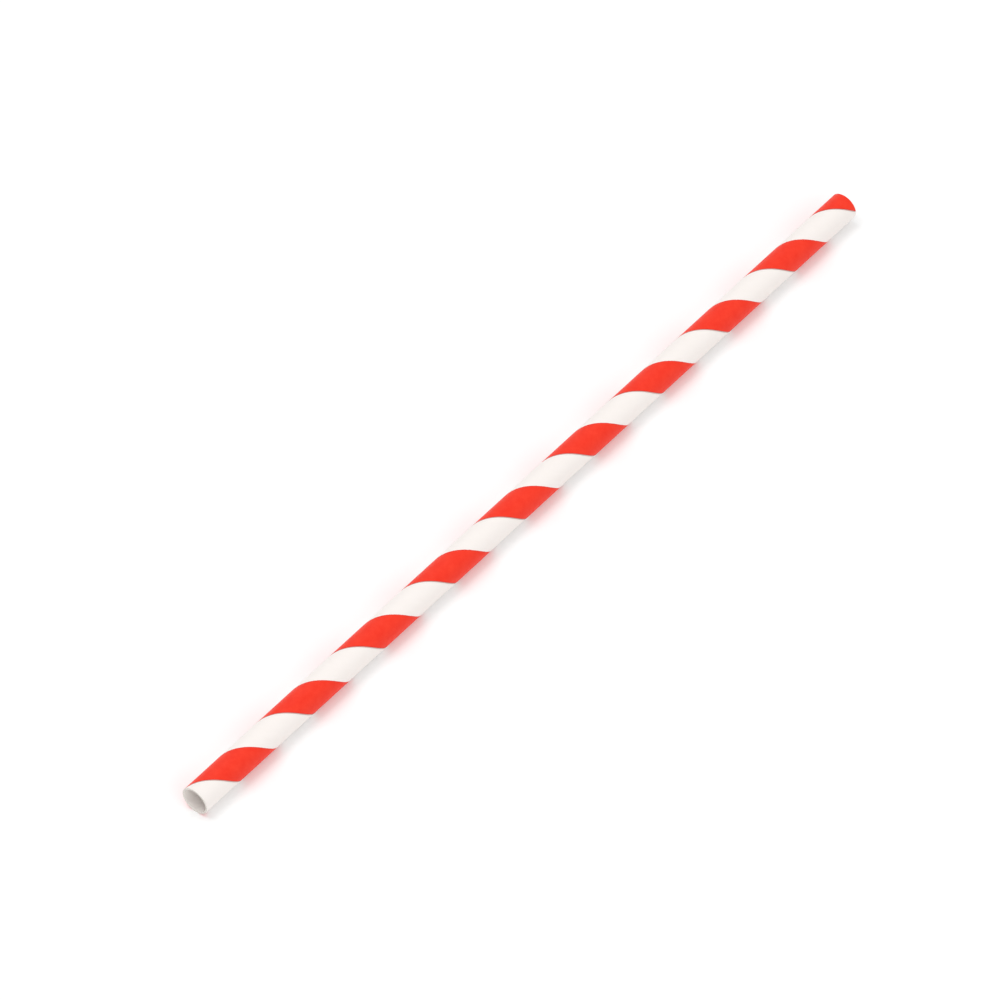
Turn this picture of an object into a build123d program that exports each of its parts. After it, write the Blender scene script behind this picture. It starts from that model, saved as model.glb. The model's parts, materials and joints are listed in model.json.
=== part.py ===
"""A round drinking straw wound from strips of paper, lying on its side.

Three plies of paper strip are wound round a mandrel at one winding angle and glued into
one thin wall, which is then cut square to length. The outer ply carries the printed
stripe, one coloured and one bare band to each turn, and its turns meet edge to edge in a
shallow spiral seam that runs along one side of the coloured band. The inner ply has a
seam of its own in the bore, on the other side of the straw.

The straw lies along X on the plane Z = 0, with its origin under its middle. Angles round
it are measured about +X, from +Y towards +Z.
"""
from build123d import *
from math import atan2, ceil, copysign, cos, degrees, pi, sin
import os

# Driving dimensions, in millimetres and degrees
OUTSIDE_DIAMETER = 6.0
LENGTH = 197.0
OUTER_PLY = 0.10
MIDDLE_PLY = 0.15
INNER_PLY = 0.15
LEAD = 21.0
OUTER_SEAM_GAP = 0.20
INNER_SEAM_GAP = 0.30
SEAM_FLOOR_SHARE = 0.6
OUTER_SEAM_ANGLE = 39.0
SEAM_SPACING_ANGLE = 180.0

# What follows from them
OUTSIDE_RADIUS = OUTSIDE_DIAMETER / 2
WALL = OUTER_PLY + MIDDLE_PLY + INNER_PLY
BORE_RADIUS = OUTSIDE_RADIUS - WALL
INNER_SEAM_ANGLE = OUTER_SEAM_ANGLE + SEAM_SPACING_ANGLE
WINDING_ANGLE = atan2(LEAD, pi * OUTSIDE_DIAMETER)
STRIP_WIDTH = pi * OUTSIDE_DIAMETER * sin(WINDING_ANGLE)

# The seam cutters have whole turns, run past both ends and reach past the wall
CUTTER_TURNS = ceil(LENGTH / LEAD + 0.5)
CUTTER_OVERRUN = (CUTTER_TURNS * LEAD - LENGTH) / 2
CUTTER_CLEARANCE = WALL / 2


def wound_tube():
    """The three plies glued into one wall, upright on Z and centred, cut square."""
    section = Circle(OUTSIDE_RADIUS) - Circle(BORE_RADIUS)
    return extrude(section, LENGTH / 2, both=True)


def winding_path(radius):
    """The line that a strip's edge follows, as one helix edge for each turn."""
    turn = Helix(pitch=LEAD, height=LEAD, radius=radius)
    return Wire([(Pos(0, 0, k * LEAD) * turn).edges()[0] for k in range(CUTTER_TURNS)])


def seam_cutter(floor_radius, mouth_radius, gap, near_end_angle):
    """A ribbon that follows the winding and leaves the gap between two turns of a strip.

    The strip's two edges are pressed over, so the gap has its stated width at the mouth and
    narrows to a share of it at the floor. It is measured across the seam, so along the straw
    it is wider by the winding angle. The profile lies in a plane through the axis and is
    carried along the helix.
    """
    far_radius = mouth_radius + copysign(CUTTER_CLEARANCE, mouth_radius - floor_radius)
    mouth_half = gap / cos(WINDING_ANGLE) / 2
    floor_half = SEAM_FLOOR_SHARE * mouth_half
    slope = (mouth_half - floor_half) / (mouth_radius - floor_radius)
    far_half = floor_half + slope * (far_radius - floor_radius)
    (low, low_half), (high, high_half) = sorted(
        [(floor_radius, floor_half), (far_radius, far_half)]
    )
    profile = Plane.XZ * Polygon(
        (low, -low_half), (high, -high_half), (high, high_half), (low, low_half), align=None
    )
    ribbon = sweep(profile, winding_path(floor_radius), is_frenet=True)
    lead_in_angle = 360 * CUTTER_OVERRUN / LEAD
    start_height = -LENGTH / 2 - CUTTER_OVERRUN
    return Pos(0, 0, start_height) * Rot(0, 0, near_end_angle - lead_in_angle) * ribbon


def laid_on_its_side(upright):
    """Turn the upright straw's Z to X and lift it to rest on the plane Z = 0.

    A quarter turn about Y carries the upright straw's angle 0 to straight down.
    """
    return Pos(0, 0, OUTSIDE_RADIUS) * Rot(0, 90, 0) * upright


def paper_straw():
    """The tube with the outer ply's seam outside and the inner ply's seam in the bore."""
    quarter_turn = 90
    outer_seam = seam_cutter(
        OUTSIDE_RADIUS - OUTER_PLY,
        OUTSIDE_RADIUS,
        OUTER_SEAM_GAP,
        OUTER_SEAM_ANGLE + quarter_turn,
    )
    inner_seam = seam_cutter(
        BORE_RADIUS + INNER_PLY,
        BORE_RADIUS,
        INNER_SEAM_GAP,
        INNER_SEAM_ANGLE + quarter_turn,
    )
    return laid_on_its_side(wound_tube() - outer_seam - inner_seam)


straw = paper_straw()
straw.label = "paper_straw"
os.makedirs("parts", exist_ok=True)
export_step(straw, "parts/paper_straw.step")
print("winding angle", round(degrees(WINDING_ANGLE), 2), "degrees")
print("paper strip width", round(STRIP_WIDTH, 2), "mm")
print("solids", len(straw.solids()), "volume", round(straw.volume, 3), "mm3")
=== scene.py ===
# The looks of one spiral-wound paper drinking straw, red and white striped, lying on a pale
# surface. The wall is one closed surface: the straw's long section, with the plies' cut edges
# at both ends, carried once round the axis. Its columns follow the winding, so the seams and
# the edges of the print run along them.
import json
import math

import bpy
import numpy as np
from mathutils import Matrix, Vector


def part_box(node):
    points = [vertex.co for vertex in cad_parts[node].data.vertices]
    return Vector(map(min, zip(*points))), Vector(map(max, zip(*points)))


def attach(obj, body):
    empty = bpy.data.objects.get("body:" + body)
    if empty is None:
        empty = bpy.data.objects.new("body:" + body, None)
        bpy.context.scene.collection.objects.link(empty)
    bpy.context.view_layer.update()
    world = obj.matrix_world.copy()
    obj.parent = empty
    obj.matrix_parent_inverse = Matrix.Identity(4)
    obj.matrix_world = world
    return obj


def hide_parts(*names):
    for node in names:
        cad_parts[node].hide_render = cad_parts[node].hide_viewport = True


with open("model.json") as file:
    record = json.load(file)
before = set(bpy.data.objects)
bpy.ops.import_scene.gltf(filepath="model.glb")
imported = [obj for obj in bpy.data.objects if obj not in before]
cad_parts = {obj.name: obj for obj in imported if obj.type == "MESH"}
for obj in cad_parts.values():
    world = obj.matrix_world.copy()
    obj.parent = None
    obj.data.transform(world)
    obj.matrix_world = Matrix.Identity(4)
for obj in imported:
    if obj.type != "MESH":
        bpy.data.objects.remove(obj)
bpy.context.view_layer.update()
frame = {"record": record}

MM = 0.001

# Sizes from the frame, in metres
LOW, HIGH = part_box("paper_straw")
MOUNTS = {mount["name"]: mount for mount in frame["record"]["mounts"]}
LENGTH = HIGH.x - LOW.x
OUTSIDE_RADIUS = MOUNTS["outside"]["dims"]["r_mm"] * MM
BORE_RADIUS = MOUNTS["bore"]["dims"]["r_mm"] * MM
AXIS_HEIGHT = MOUNTS["bore"]["pos_m"][2]

# The winding, as in the part's source
OUTER_PLY = 0.10 * MM
INNER_PLY = 0.15 * MM
LEAD = 21.0 * MM
OUTER_SEAM_GAP = 0.20 * MM
INNER_SEAM_GAP = 0.30 * MM
SEAM_FLOOR_SHARE = 0.6
OUTER_SEAM_ANGLE = math.radians(39.0)
INNER_SEAM_TURN = 0.5
MIDDLE_SEAM_TURN = 0.29
WINDING_ANGLE = math.atan2(LEAD, 2 * math.pi * OUTSIDE_RADIUS)
STRIP_WIDTH = 2 * math.pi * OUTSIDE_RADIUS * math.sin(WINDING_ANGLE)

# The print covers the strip from here to its far edge, as a share of its width
PRINT_START = 0.505
PRINT_RAGGEDNESS_MM = 0.10
INK_RIM_MM = 0.22

# The small unevenness of the wound paper. The seam's wander and opening are shares of its
# own half width, and each hidden seam has its place as a turn from the outer one
SEAM_WANDER = 0.10
SEAM_OPENING = 0.28
EDGE_LIFT = 0.010 * MM
EDGE_LIFT_CHANGE = 0.006 * MM
HIDDEN_SEAMS = ((MIDDLE_SEAM_TURN, 0.014 * MM), (INNER_SEAM_TURN, 0.008 * MM))
CUT_FUZZ = 0.004 * MM

# How finely the wall is drawn
ROW_SPACING = 0.6 * MM
PLAIN_COLUMNS = 96
RIM_ROUNDING = 0.025 * MM
SEAM_WALL_BLEND = 0.04

PAPER_IOR = 1.47
FLOOR_LIFT = 0.16

SEED = 8


def smooth_step(low, high, values):
    """0 below low, 1 above high, and the cubic 3t^2 - 2t^3 between them."""
    t = np.clip((values - low) / (high - low), 0, 1)
    return t * t * (3 - 2 * t)


def around_seam(turn, seam_turn):
    """The signed distance round the straw from a seam, as a share of a turn, in -0.5 to 0.5."""
    return (turn - seam_turn + 0.5) % 1.0 - 0.5


def seam_half_turn(gap, radius):
    """Half a seam's width as a share of a turn: the gap over the sine of the winding angle."""
    return gap / 2 / math.sin(WINDING_ANGLE) / (2 * math.pi * radius)


OUTER_HALF = seam_half_turn(OUTER_SEAM_GAP, OUTSIDE_RADIUS)
INNER_HALF = seam_half_turn(INNER_SEAM_GAP, BORE_RADIUS)


def column_turns():
    """The columns' places round the straw, as shares of a turn from the outer seam.

    They are evenly spaced, with a close group of extra columns over each seam's two edges.
    """
    even = np.arange(PLAIN_COLUMNS) / PLAIN_COLUMNS
    pattern = np.array([0.0, 0.5, 0.62, 0.74, 0.86, 0.98, 1.12, 1.35, 1.8, 2.6])
    pattern = np.concatenate([-pattern[:0:-1], pattern])
    outer = (pattern * OUTER_HALF) % 1.0
    inner = (INNER_SEAM_TURN + pattern * INNER_HALF) % 1.0
    close = np.concatenate([outer, inner])
    nearest = np.abs((even[:, None] - close[None, :] + 0.5) % 1.0 - 0.5).min(axis=1)
    kept = even[nearest > 0.35 / PLAIN_COLUMNS]
    return np.unique(np.concatenate([kept, close]))


def waves(length_along, rng, wavelengths):
    """A sum of sines of unit size in all, with seeded phases, along the straw."""
    total = np.zeros_like(length_along)
    for wavelength in wavelengths:
        total += np.sin(2 * np.pi * (length_along / wavelength + rng.random()))
    return total / len(wavelengths)


def seam_depth(away):
    """How deep a seam is, from 1 on its floor to 0 beside it, with its sloping wall between.

    The distance from its middle is given in units of half its width at the mouth.
    """
    return 1 - smooth_step(SEAM_FLOOR_SHARE - SEAM_WALL_BLEND, 1 + SEAM_WALL_BLEND, away)


def outside_radius(turn, gap_scale, lift):
    """The outside's radius round the straw.

    It is the stated radius, less one ply between the strip's two edges, where the ply below
    shows. The edges are pressed over, so the groove's walls slope. The strip stands a little
    proud beside it, and the seams of the two plies below show through as very shallow
    hollows.
    """
    away = np.abs(around_seam(turn, 0.0)) / (OUTER_HALF * gap_scale)
    groove = seam_depth(away)
    shoulder = np.exp(-(((away - 2.0) / 0.9) ** 2)) * lift
    show_through = np.zeros_like(turn)
    for seam_turn, depth in HIDDEN_SEAMS:
        spread = around_seam(turn, seam_turn) / (3.2 * OUTER_HALF)
        show_through += depth * np.exp(-(spread**2))
    return OUTSIDE_RADIUS - OUTER_PLY * groove + shoulder * (1 - groove) - show_through


def bore_radius(turn, gap_scale):
    """The bore's radius: the stated one, plus one ply where the inner strip's edges part."""
    away = np.abs(around_seam(turn, INNER_SEAM_TURN)) / (INNER_HALF * gap_scale)
    return BORE_RADIUS + INNER_PLY * seam_depth(away)


def long_section():
    """The closed line that is carried round the axis, as arrays along it.

    It runs along the outside from the near end to the far one, across the far end, back
    through the bore and across the near end. It gives each point's place along the straw,
    its depth into the wall from 0 outside to 1 in the bore, and the part it belongs to: 0 on
    the outside, 1 on a cut end and 2 in the bore. The cut ends are sunk a little at their
    two rims and at the glue lines between the plies.
    """
    rows = int(round(LENGTH / ROW_SPACING))
    half = LENGTH / 2
    inset = RIM_ROUNDING
    body = np.linspace(-half + 3 * inset, half - 3 * inset, rows)
    along = np.concatenate([[-half + inset], body, [half - inset]])
    wall = OUTSIDE_RADIUS - BORE_RADIUS
    outer_joint = OUTER_PLY / wall
    inner_joint = 1 - INNER_PLY / wall
    hair = 0.03
    corner = 0.30 * inset / wall
    depth = np.array([
        corner, 3.2 * corner, outer_joint - hair, outer_joint, outer_joint + hair,
        (outer_joint + inner_joint) / 2, inner_joint - hair, inner_joint,
        inner_joint + hair, 1 - 3.2 * corner, 1 - corner,
    ])
    sunk = np.array([0.30, 0.0, 0.0, 0.55, 0.0, 0.0, 0.0, 0.55, 0.0, 0.0, 0.30]) * inset
    far_x = half - sunk
    near_x = -half + sunk
    place = np.concatenate([along, far_x, along[::-1], near_x[::-1]])
    into = np.concatenate([0 * along, depth, 0 * along + 1, depth[::-1]])
    part = np.concatenate([0 * along, 0 * depth + 1, 0 * along + 2, 0 * depth + 1])
    return place, into, part.astype(int)


def wound_wall():
    """The straw's wall as a grid of points, closed both ways.

    A point's turn round the axis is its column's turn from the outer seam, plus the place
    along the straw over the lead. Its radius lies between the outside's and the bore's by
    its depth into the wall. The seam wanders and opens a little along the straw, and the
    cut ends have a little random roughness along it.
    """
    rng = np.random.default_rng(SEED)
    place, into, part = long_section()
    turn = column_turns()
    from_near_end = place + LENGTH / 2
    sway = waves(from_near_end, rng, (61 * MM, 23 * MM, 9 * MM))
    wander = sway * SEAM_WANDER * OUTER_HALF
    gap_scale = 1 + SEAM_OPENING * waves(from_near_end, rng, (83 * MM, 31 * MM, 13 * MM))
    lift = EDGE_LIFT + EDGE_LIFT_CHANGE * waves(from_near_end, rng, (47 * MM, 19 * MM))
    grid_turn = np.broadcast_to(turn[None, :], (len(place), len(turn)))
    pull = np.exp(-((around_seam(grid_turn, 0.0) / (6 * OUTER_HALF)) ** 2))
    moved = grid_turn + wander[:, None] * pull
    outside = outside_radius(grid_turn, gap_scale[:, None], lift[:, None])
    bore = bore_radius(grid_turn, gap_scale[:, None])
    radius = outside + (bore - outside) * into[:, None]
    angle = OUTER_SEAM_ANGLE + 2 * np.pi * (moved + from_near_end[:, None] / LEAD)
    x = np.broadcast_to(place[:, None], radius.shape)
    fibre = rng.normal(0, 1, radius.shape) * (part[:, None] == 1)
    x = x + fibre * CUT_FUZZ * np.sign(-x)
    points = np.stack([x, radius * np.cos(angle), AXIS_HEIGHT + radius * np.sin(angle)], -1)
    return points, turn, from_near_end, into, part


def grid_faces(rows, columns):
    """The quads of a grid that is closed both ways, each facing out of the wall."""
    row = np.arange(rows)[:, None]
    column = np.arange(columns)[None, :]
    next_row = (row + 1) % rows
    next_column = (column + 1) % columns
    corners = [
        row * columns + column,
        row * columns + next_column,
        next_row * columns + next_column,
        next_row * columns + column,
    ]
    corners = [np.broadcast_to(c, (rows, columns)).ravel() for c in corners]
    return np.stack(corners, -1)


def strip_map(turn, from_near_end, into, part):
    """Each face corner's place on the paper, in millimetres.

    On the outside and in the bore, the first number runs across the strip from the outer
    seam and the second along the strip. On the cut ends, the first is the depth below the
    outside and the second runs round the straw.
    """
    rows, columns = len(from_near_end), len(turn)
    turn_low = turn
    turn_high = np.append(turn[1:], turn[0] + 1.0)
    row = np.arange(rows)
    next_row = (row + 1) % rows
    corner_rows = (row, row, next_row, next_row)
    corner_turns = (turn_low, turn_high, turn_high, turn_low)
    circumference = 2 * math.pi * OUTSIDE_RADIUS
    # A face belongs to the cut end as soon as one of its two rows does.
    on_end = (part[row] == 1) | (part[next_row] == 1) | (part[row] != part[next_row])
    wall = OUTSIDE_RADIUS - BORE_RADIUS
    corners = []
    for chosen, turns in zip(corner_rows, corner_turns):
        along_straw = from_near_end[chosen][:, None]
        across = np.broadcast_to(STRIP_WIDTH * turns[None, :], (rows, columns))
        round_straw = circumference * (turns[None, :] + along_straw / LEAD)
        along = round_straw * math.cos(WINDING_ANGLE) + along_straw * math.sin(WINDING_ANGLE)
        depth = np.broadcast_to(into[chosen][:, None] * wall, (rows, columns))
        first = np.where(on_end[:, None], depth, across)
        second = np.where(on_end[:, None], circumference * turns[None, :], along)
        corners.append(np.stack([first, second], -1) / MM)
    return np.stack(corners, 2).reshape(-1, 2), on_end


def wall_mesh():
    """The straw's mesh, with its map and one material for each kind of surface."""
    points, turn, from_near_end, into, part = wound_wall()
    rows, columns = points.shape[:2]
    faces = grid_faces(rows, columns)
    mesh = bpy.data.meshes.new("paper_straw_wall")
    mesh.from_pydata(points.reshape(-1, 3), [], faces)
    paper_map, on_end = strip_map(turn, from_near_end, into, part)
    layer = mesh.uv_layers.new(name="strip_mm")
    layer.data.foreach_set("uv", paper_map.astype(np.float32).ravel())
    slot_of_part = np.where(on_end, 1, part)
    slots = np.repeat(slot_of_part, columns).astype(np.int32)
    mesh.polygons.foreach_set("material_index", slots)
    mesh.polygons.foreach_set("use_smooth", np.ones(len(faces), bool))
    mesh.update()
    mesh.validate()
    return mesh


def linear(code):
    """An sRGB hex colour as linear red, green, blue and an alpha of 1."""
    parts = [int(code[i:i + 2], 16) / 255 for i in (1, 3, 5)]
    low = [p / 12.92 for p in parts]
    high = [((p + 0.055) / 1.055) ** 2.4 for p in parts]
    return [a if p <= 0.04045 else b for p, a, b in zip(parts, low, high)] + [1.0]


def add_node(tree, kind, settings=None, inputs=None):
    """Add a node, set its properties, and set or link its inputs.

    An input is named by its socket's name or number. Its value is a plain value, or an
    output socket to link from.
    """
    node = tree.nodes.new(kind)
    for name, value in (settings or {}).items():
        setattr(node, name, value)
    for name, value in (inputs or {}).items():
        socket = node.inputs[name]
        if isinstance(value, bpy.types.NodeSocket):
            tree.links.new(value, socket)
        else:
            socket.default_value = value
    return node


def new_material(name):
    """An empty node material with its output node."""
    material = bpy.data.materials.new(name)
    material.use_nodes = True
    material.node_tree.nodes.clear()
    output = material.node_tree.nodes.new("ShaderNodeOutputMaterial")
    return material, material.node_tree, output


def paper_fibres(tree, position, across_mm, along_mm):
    """Fine streaks along the strip, as long as its fibres: the noise for a fibre bump."""
    stretched = add_node(tree, "ShaderNodeVectorMath", {"operation": "MULTIPLY"}, {
        0: position, 1: (1 / across_mm, 1 / along_mm, 1.0),
    })
    return add_node(tree, "ShaderNodeTexNoise", {"noise_dimensions": "2D"}, {
        "Vector": stretched.outputs[0], "Scale": 1.0, "Detail": 4.0,
        "Roughness": 0.6, "Distortion": 0.4,
    }).outputs[0]


def printed_paper():
    """White coated paper, flexo printed with a solid red band and thinly varnished.

    It looks smooth and nearly matt. The red is slightly uneven where the ink sat on the
    fibres and darker along the band's two edges, one of which is a little ragged. The other
    edge is the seam, with a thin grey line of painted shade for the narrow groove there.
    """
    material, tree, output = new_material("printed_straw_paper_varnished")
    place = add_node(tree, "ShaderNodeUVMap", {"uv_map": "strip_mm"}).outputs[0]
    across = add_node(tree, "ShaderNodeSeparateXYZ", None, {0: place}).outputs[0]

    # The ragged edge of the print: fibres move it by a few hundredths of a millimetre, and
    # the noise is about a half in the middle
    edge_noise = add_node(tree, "ShaderNodeTexNoise", {"noise_dimensions": "2D"}, {
        "Vector": place, "Scale": 5.0, "Detail": 3.0,
    }).outputs[0]
    ragged = add_node(tree, "ShaderNodeMath", {"operation": "MULTIPLY_ADD"}, {
        0: edge_noise, 1: PRINT_RAGGEDNESS_MM, 2: across,
    }).outputs[0]
    strip = STRIP_WIDTH / MM
    print_edge = PRINT_START * strip + PRINT_RAGGEDNESS_MM / 2
    inked = add_node(tree, "ShaderNodeMapRange", {"interpolation_type": "SMOOTHSTEP"}, {
        0: ragged, 1: print_edge - 0.03, 2: print_edge + 0.03, 3: 0.0, 4: 1.0,
    }).outputs[0]
    # Along the seam the strip's edges and the ply below are bare paper, painted grey as the
    # shade in the narrow groove
    from_seam = add_node(tree, "ShaderNodeMath", {"operation": "PINGPONG"}, {
        0: across, 1: strip / 2,
    }).outputs[0]
    half_gap = strip * OUTER_HALF
    painted_groove_shade = add_node(tree, "ShaderNodeMapRange", {"interpolation_type": "SMOOTHSTEP"}, {
        0: from_seam, 1: 0.75 * half_gap, 2: 1.05 * half_gap, 3: 1.0, 4: 0.0,
    }).outputs[0]

    # The ink is squeezed out along the band's two edges, where it is thicker and darker
    squeezed_edges = [
        add_node(tree, "ShaderNodeMapRange", {"interpolation_type": "SMOOTHSTEP"}, {
            0: distance, 1: edge, 2: edge + INK_RIM_MM, 3: 0.65, 4: 0.0,
        }).outputs[0]
        for distance, edge in ((ragged, print_edge), (from_seam, half_gap))
    ]
    squeezed = add_node(tree, "ShaderNodeMath", {"operation": "MAXIMUM"}, {
        0: squeezed_edges[0], 1: squeezed_edges[1],
    }).outputs[0]

    # Ink density clouds of about 2 mm, as the paper took it up
    cloud = add_node(tree, "ShaderNodeTexNoise", {"noise_dimensions": "2D"}, {
        "Vector": place, "Scale": 0.5, "Detail": 5.0, "Roughness": 0.65,
    }).outputs[0]
    solid_red = add_node(tree, "ShaderNodeMix", {"data_type": "RGBA"}, {
        0: cloud, 6: linear("#F52C17"), 7: linear("#FF442C"),
    }).outputs[2]
    red = add_node(tree, "ShaderNodeMix", {"data_type": "RGBA"}, {
        0: squeezed, 6: solid_red, 7: linear("#C92E22"),
    }).outputs[2]
    white = add_node(tree, "ShaderNodeMix", {"data_type": "RGBA"}, {
        0: cloud, 6: linear("#FBF4EF"), 7: linear("#FDF7F3"),
    }).outputs[2]
    printed = add_node(tree, "ShaderNodeMix", {"data_type": "RGBA"}, {
        0: inked, 6: white, 7: red,
    }).outputs[2]
    # Over the seam's groove the colour is painted grey: painted shade, not the paper's own
    # colour
    colour = add_node(tree, "ShaderNodeMix", {"data_type": "RGBA"}, {
        0: painted_groove_shade, 6: printed, 7: linear("#D5C3BC"),
    }).outputs[2]

    fibres = paper_fibres(tree, place, 0.12, 0.9)
    bump = add_node(tree, "ShaderNodeBump", None, {
        "Strength": 0.12, "Distance": 0.02 * MM, "Height": fibres,
    }).outputs[0]
    roughness = add_node(tree, "ShaderNodeMapRange", None, {
        0: fibres, 1: 0.3, 2: 0.7, 3: 0.40, 4: 0.50,
    }).outputs[0]
    shader = add_node(tree, "ShaderNodeBsdfPrincipled", None, {
        "Base Color": colour, "Roughness": roughness, "IOR": PAPER_IOR, "Normal": bump,
        "Specular IOR Level": 0.2, "Coat Weight": 0.03, "Coat Roughness": 0.32,
    })
    tree.links.new(shader.outputs[0], output.inputs[0])
    return material


def bare_paper():
    """Uncoated paper on the bore's wall: matt, a warm white, with its fibres just showing."""
    material, tree, output = new_material("bare_kraft_white_paper")
    place = add_node(tree, "ShaderNodeUVMap", {"uv_map": "strip_mm"}).outputs[0]
    fibres = paper_fibres(tree, place, 0.10, 0.7)
    colour = add_node(tree, "ShaderNodeMix", {"data_type": "RGBA"}, {
        0: fibres, 6: linear("#F9F1EC"), 7: linear("#FDF8F4"),
    }).outputs[2]
    bump = add_node(tree, "ShaderNodeBump", None, {
        "Strength": 0.35, "Distance": 0.03 * MM, "Height": fibres,
    }).outputs[0]
    shader = add_node(tree, "ShaderNodeBsdfPrincipled", None, {
        "Base Color": colour, "Roughness": 0.85, "IOR": PAPER_IOR, "Normal": bump,
    })
    tree.links.new(shader.outputs[0], output.inputs[0])
    return material


def cut_paper():
    """The plies' knife-cut edges: rough white fibre with two thin glue lines between them."""
    material, tree, output = new_material("knife_cut_paper_plies")
    place = add_node(tree, "ShaderNodeUVMap", {"uv_map": "strip_mm"}).outputs[0]
    depth = add_node(tree, "ShaderNodeSeparateXYZ", None, {0: place}).outputs[0]
    wall = (OUTSIDE_RADIUS - BORE_RADIUS) / MM
    joints = (OUTER_PLY / MM, wall - INNER_PLY / MM)
    lines = [
        add_node(tree, "ShaderNodeMath", {"operation": "COMPARE"}, {
            0: depth, 1: joint, 2: 0.012,
        }).outputs[0]
        for joint in joints
    ]
    glue = add_node(tree, "ShaderNodeMath", {"operation": "MAXIMUM"}, {
        0: lines[0], 1: lines[1],
    }).outputs[0]
    fuzz = add_node(tree, "ShaderNodeTexNoise", {"noise_dimensions": "2D"}, {
        "Vector": place, "Scale": 9.0, "Detail": 4.0,
    }).outputs[0]
    fibre = add_node(tree, "ShaderNodeMix", {"data_type": "RGBA"}, {
        0: fuzz, 6: linear("#E9E2DA"), 7: linear("#FAF6F0"),
    }).outputs[2]
    colour = add_node(tree, "ShaderNodeMix", {"data_type": "RGBA"}, {
        0: glue, 6: fibre, 7: linear("#D6CCC2"),
    }).outputs[2]
    bump = add_node(tree, "ShaderNodeBump", None, {
        "Strength": 0.5, "Distance": 0.03 * MM, "Height": fuzz,
    }).outputs[0]
    shader = add_node(tree, "ShaderNodeBsdfPrincipled", None, {
        "Base Color": colour, "Roughness": 0.9, "IOR": PAPER_IOR, "Normal": bump,
    })
    tree.links.new(shader.outputs[0], output.inputs[0])
    return material


def build_straw():
    """The dressed straw, which stands for the plain solid."""
    mesh = wall_mesh()
    # In the order of the section's parts: the outside, the cut ends and the bore
    for material in (printed_paper(), cut_paper(), bare_paper()):
        mesh.materials.append(material)
    straw = bpy.data.objects.new("paper_straw_wound", mesh)
    bpy.context.scene.collection.objects.link(straw)
    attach(straw, "root")
    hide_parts("paper_straw")
    return straw


def sees_white(tree):
    """1 for rays from the camera, from a reflection or through glass, and 0 for the rest."""
    rays = tree.nodes.new("ShaderNodeLightPath").outputs
    first = add_node(tree, "ShaderNodeMath", {"operation": "MAXIMUM"}, {
        0: rays["Is Camera Ray"], 1: rays["Is Glossy Ray"],
    }).outputs[0]
    return add_node(tree, "ShaderNodeMath", {"operation": "MAXIMUM"}, {
        0: first, 1: rays["Is Transmission Ray"],
    }).outputs[0]


def build_floor():
    """A pale matt studio sheet. To the camera it reads as plain white but for the shadow."""
    half = 3.0
    corners = [(-half, -half, 0), (half, -half, 0), (half, half, 0), (-half, half, 0)]
    mesh = bpy.data.meshes.new("studio_sheet")
    mesh.from_pydata(corners, [], [(0, 1, 2, 3)])
    material, tree, output = new_material("matt_white_studio_sheet")
    matt = add_node(tree, "ShaderNodeBsdfDiffuse", None, {"Color": linear("#F3F3F3")})
    seen = add_node(tree, "ShaderNodeMath", {"operation": "MULTIPLY"}, {
        0: sees_white(tree), 1: FLOOR_LIFT,
    }).outputs[0]
    lift = add_node(tree, "ShaderNodeEmission", None, {"Strength": seen})
    both = tree.nodes.new("ShaderNodeAddShader")
    tree.links.new(matt.outputs[0], both.inputs[0])
    tree.links.new(lift.outputs[0], both.inputs[1])
    tree.links.new(both.outputs[0], output.inputs[0])
    mesh.materials.append(material)
    floor = bpy.data.objects.new("studio_sheet", mesh)
    bpy.context.scene.collection.objects.link(floor)


def build_world():
    """Even light from all round, and a white background wherever the floor ends."""
    world = bpy.data.worlds.new("soft_room")
    world.use_nodes = True
    tree = world.node_tree
    tree.nodes.clear()
    room = add_node(tree, "ShaderNodeBackground", None, {
        "Color": (1.0, 1.0, 1.0, 1.0), "Strength": 0.63,
    })
    white = add_node(tree, "ShaderNodeBackground", None, {
        "Color": (1.0, 1.0, 1.0, 1.0), "Strength": 1.0,
    })
    mix = add_node(tree, "ShaderNodeMixShader", None, {
        0: sees_white(tree), 1: room.outputs[0], 2: white.outputs[0],
    })
    output = tree.nodes.new("ShaderNodeOutputWorld")
    tree.links.new(mix.outputs[0], output.inputs[0])
    bpy.context.scene.world = world


def aim(obj, place, target, roll=0.0):
    """Put an object at a place, looking at a target along its -Z, turned about that line."""
    direction = (Vector(target) - Vector(place)).normalized()
    turn = direction.to_track_quat("-Z", "Y").to_matrix()
    obj.matrix_world = (
        Matrix.Translation(place) @ turn.to_4x4() @ Matrix.Rotation(roll, 4, "Z")
    )


def add_softbox(name, place, width, height, power):
    """A rectangular soft light that looks at the straw's middle."""
    lamp = bpy.data.lights.new(name, "AREA")
    lamp.shape = "RECTANGLE"
    lamp.size = width
    lamp.size_y = height
    lamp.energy = power
    holder = bpy.data.objects.new(name, lamp)
    bpy.context.scene.collection.objects.link(holder)
    aim(holder, place, (0, 0, 0))


def build_camera():
    """The photograph's own view: from above the near end, a long lens, slightly rolled."""
    distance = 1.5058
    elevation = math.radians(46.29)
    heading = math.radians(41.76)
    target = Vector((-2.67, 5.50, 0.0)) * MM
    back = Vector((
        -math.cos(elevation) * math.cos(heading),
        -math.cos(elevation) * math.sin(heading),
        math.sin(elevation),
    ))
    focal_pixels = 7844
    image_pixels = 1000
    camera = bpy.data.cameras.new("camera")
    camera.sensor_width = 36
    camera.lens = camera.sensor_width * focal_pixels / image_pixels
    camera.clip_end = 20
    holder = bpy.data.objects.new("camera", camera)
    bpy.context.scene.collection.objects.link(holder)
    aim(holder, target + back * distance, target, math.radians(-3.44))
    bpy.context.scene.camera = holder


build_straw()
build_floor()
build_world()
# The first lays the soft shadow on the near side, and the second lights that side
add_softbox("overhead_softbox", (-0.15, 0.7, 2.0), width=1.2, height=1.2, power=15)
add_softbox("near_side_softbox", (-0.6, -1.6, 0.9), width=1.6, height=1.0, power=8)
build_camera()
bpy.context.scene.view_settings.view_transform = "Standard"
